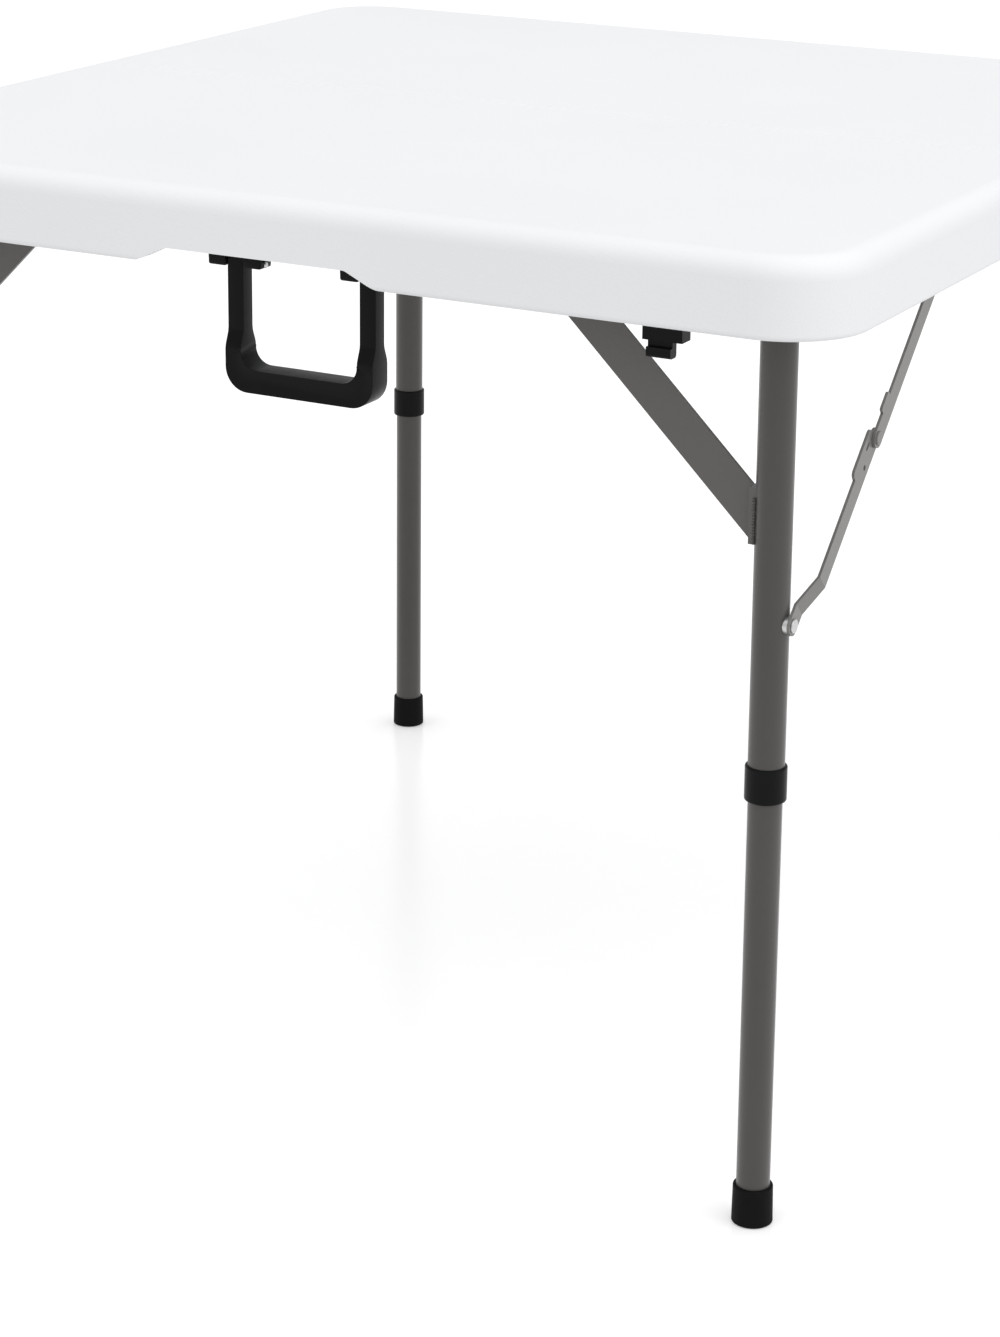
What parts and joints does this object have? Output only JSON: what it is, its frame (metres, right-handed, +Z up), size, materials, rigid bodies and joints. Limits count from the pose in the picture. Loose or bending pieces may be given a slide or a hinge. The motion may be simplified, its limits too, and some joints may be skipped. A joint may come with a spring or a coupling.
{
  "type": "folding table",
  "caption": "Square plastic folding table whose top folds in half over its folding, telescoping leg frames and carries by a swinging handle.",
  "frame": {"origin": "on the floor under the middle of the open top", "axes": "+Z up, X along the seam between the halves, -Y towards the half with the handle"},
  "size_m": [0.864, 0.864, 0.7],
  "materials": {
    "white_plastic": "fine grained",
    "grey_steel": "powder coated",
    "black_plastic": "satin",
    "black_rubber": "matte",
    "zinc_steel": "zinc plated"
  },
  "bodies": {
    "near_half": {"near_top": "white_plastic", "near_top_screws": "zinc_steel", "near_left_hinge_leaf": "zinc_steel", "near_right_hinge_leaf": "zinc_steel", "near_left_pivot_bracket": "black_plastic", "near_right_pivot_bracket": "black_plastic", "near_stay_brackets": "grey_steel", "near_stay_rivets": "zinc_steel", "handle_base_left": "black_plastic", "handle_base_right": "black_plastic", "handle_pins": "zinc_steel", "left_latch_body": "black_plastic", "right_latch_body": "black_plastic"},
    "hinge_pins": {"hinge_pins": "zinc_steel"},
    "far_half": {"far_top": "white_plastic", "far_top_screws": "zinc_steel", "far_left_hinge_leaf": "zinc_steel", "far_right_hinge_leaf": "zinc_steel", "far_left_pivot_bracket": "black_plastic", "far_right_pivot_bracket": "black_plastic", "far_stay_brackets": "grey_steel", "far_stay_rivets": "zinc_steel", "latch_keepers": "black_plastic"},
    "carry_handle": {"carry_handle": "black_plastic"},
    "near_leg_frame": {"near_crossbar": "grey_steel", "near_stay_pins": "zinc_steel", "near_left_upper_leg": "grey_steel", "near_left_gusset": "grey_steel", "near_left_collar": "black_plastic", "near_right_upper_leg": "grey_steel", "near_right_gusset": "grey_steel", "near_right_collar": "black_plastic"},
    "near_left_lower_leg": {"near_left_lower_leg": "grey_steel", "near_left_foot": "black_rubber"},
    "near_left_lower_link": {"near_left_lower_link": "grey_steel"},
    "near_left_upper_link": {"near_left_upper_link": "grey_steel"},
    "near_right_lower_leg": {"near_right_lower_leg": "grey_steel", "near_right_foot": "black_rubber"},
    "near_right_lower_link": {"near_right_lower_link": "grey_steel"},
    "near_right_upper_link": {"near_right_upper_link": "grey_steel"},
    "far_leg_frame": {"far_crossbar": "grey_steel", "far_stay_pins": "zinc_steel", "far_left_upper_leg": "grey_steel", "far_left_gusset": "grey_steel", "far_left_collar": "black_plastic", "far_right_upper_leg": "grey_steel", "far_right_gusset": "grey_steel", "far_right_collar": "black_plastic"},
    "far_left_lower_leg": {"far_left_lower_leg": "grey_steel", "far_left_foot": "black_rubber"},
    "far_left_lower_link": {"far_left_lower_link": "grey_steel"},
    "far_left_upper_link": {"far_left_upper_link": "grey_steel"},
    "far_right_lower_leg": {"far_right_lower_leg": "grey_steel", "far_right_foot": "black_rubber"},
    "far_right_lower_link": {"far_right_lower_link": "grey_steel"},
    "far_right_upper_link": {"far_right_upper_link": "grey_steel"},
    "left_latch_hook": {"left_latch_hook": "black_plastic"},
    "right_latch_hook": {"right_latch_hook": "black_plastic"}
  },
  "joints": [
    {"name": "top_fold", "type": "hinge", "parent": "hinge_pins", "child": "near_half", "pos_m": [0, 0, 0.6445], "axis": [1, 0, 0], "range_deg": [0, 90]},
    {"name": "top_close", "type": "hinge", "parent": "hinge_pins", "child": "far_half", "pos_m": [0, 0, 0.6445], "axis": [-1, 0, 0], "range_deg": [0, 90]},
    {"name": "handle_swing", "type": "hinge", "parent": "near_half", "child": "carry_handle", "pos_m": [0, -0.362, 0.644], "axis": [-1, 0, 0], "range_deg": [0, 90]},
    {"name": "near_leg_fold", "type": "hinge", "parent": "near_half", "child": "near_leg_frame", "pos_m": [0, -0.381, 0.661], "axis": [1, 0, 0], "range_deg": [0, 90]},
    {"name": "near_left_leg_slide", "type": "slide", "parent": "near_leg_frame", "child": "near_left_lower_leg", "axis": [0, 0, 1], "range_m": [0, 0.284]},
    {"name": "near_left_upper_link_turn", "type": "hinge", "parent": "near_half", "child": "near_left_upper_link", "pos_m": [0, -0.145, 0.661], "axis": [-1, 0, 0], "range_deg": [0, 42.99]},
    {"name": "near_left_lower_link_turn", "type": "hinge", "parent": "near_leg_frame", "child": "near_left_lower_link", "pos_m": [0, -0.381, 0.441], "axis": [1, 0, 0], "range_deg": [0, 47.01]},
    {"name": "near_right_leg_slide", "type": "slide", "parent": "near_leg_frame", "child": "near_right_lower_leg", "axis": [0, 0, 1], "range_m": [0, 0.284]},
    {"name": "near_right_upper_link_turn", "type": "hinge", "parent": "near_half", "child": "near_right_upper_link", "pos_m": [0, -0.145, 0.661], "axis": [-1, 0, 0], "range_deg": [0, 42.99]},
    {"name": "near_right_lower_link_turn", "type": "hinge", "parent": "near_leg_frame", "child": "near_right_lower_link", "pos_m": [0, -0.381, 0.441], "axis": [1, 0, 0], "range_deg": [0, 47.01]},
    {"name": "far_leg_fold", "type": "hinge", "parent": "far_half", "child": "far_leg_frame", "pos_m": [0, 0.381, 0.661], "axis": [-1, 0, 0], "range_deg": [0, 90]},
    {"name": "far_left_leg_slide", "type": "slide", "parent": "far_leg_frame", "child": "far_left_lower_leg", "axis": [0, 0, 1], "range_m": [0, 0.284]},
    {"name": "far_left_upper_link_turn", "type": "hinge", "parent": "far_half", "child": "far_left_upper_link", "pos_m": [0, 0.145, 0.661], "axis": [1, 0, 0], "range_deg": [0, 42.99]},
    {"name": "far_left_lower_link_turn", "type": "hinge", "parent": "far_leg_frame", "child": "far_left_lower_link", "pos_m": [0, 0.381, 0.441], "axis": [-1, 0, 0], "range_deg": [0, 47.01]},
    {"name": "far_right_leg_slide", "type": "slide", "parent": "far_leg_frame", "child": "far_right_lower_leg", "axis": [0, 0, 1], "range_m": [0, 0.284]},
    {"name": "far_right_upper_link_turn", "type": "hinge", "parent": "far_half", "child": "far_right_upper_link", "pos_m": [0, 0.145, 0.661], "axis": [1, 0, 0], "range_deg": [0, 42.99]},
    {"name": "far_right_lower_link_turn", "type": "hinge", "parent": "far_leg_frame", "child": "far_right_lower_link", "pos_m": [0, 0.381, 0.441], "axis": [-1, 0, 0], "range_deg": [0, 47.01]},
    {"name": "left_latch_slide", "type": "slide", "parent": "near_half", "child": "left_latch_hook", "axis": [1, 0, 0], "range_m": [0, 0.006]},
    {"name": "right_latch_slide", "type": "slide", "parent": "near_half", "child": "right_latch_hook", "axis": [1, 0, 0], "range_m": [0, 0.006]}
  ],
  "couplings": [
    {"joint": "handle_swing", "follows": "top_fold", "ratio": 1},
    {"joint": "near_leg_fold", "follows": "top_fold", "ratio": 1},
    {"joint": "near_left_leg_slide", "follows": "top_fold", "m_per_rad": 0.18078},
    {"joint": "near_left_upper_link_turn", "follows": "top_fold", "ratio": 0.47762},
    {"joint": "near_left_lower_link_turn", "follows": "top_fold", "ratio": 0.52228},
    {"joint": "near_right_leg_slide", "follows": "top_fold", "m_per_rad": 0.18078},
    {"joint": "near_right_upper_link_turn", "follows": "top_fold", "ratio": 0.47762},
    {"joint": "near_right_lower_link_turn", "follows": "top_fold", "ratio": 0.52228},
    {"joint": "far_leg_fold", "follows": "top_fold", "ratio": 1},
    {"joint": "far_left_leg_slide", "follows": "top_fold", "m_per_rad": 0.18078},
    {"joint": "far_left_upper_link_turn", "follows": "top_fold", "ratio": 0.47762},
    {"joint": "far_left_lower_link_turn", "follows": "top_fold", "ratio": 0.52228},
    {"joint": "far_right_leg_slide", "follows": "top_fold", "m_per_rad": 0.18078},
    {"joint": "far_right_upper_link_turn", "follows": "top_fold", "ratio": 0.47762},
    {"joint": "far_right_lower_link_turn", "follows": "top_fold", "ratio": 0.52228}
  ]
}
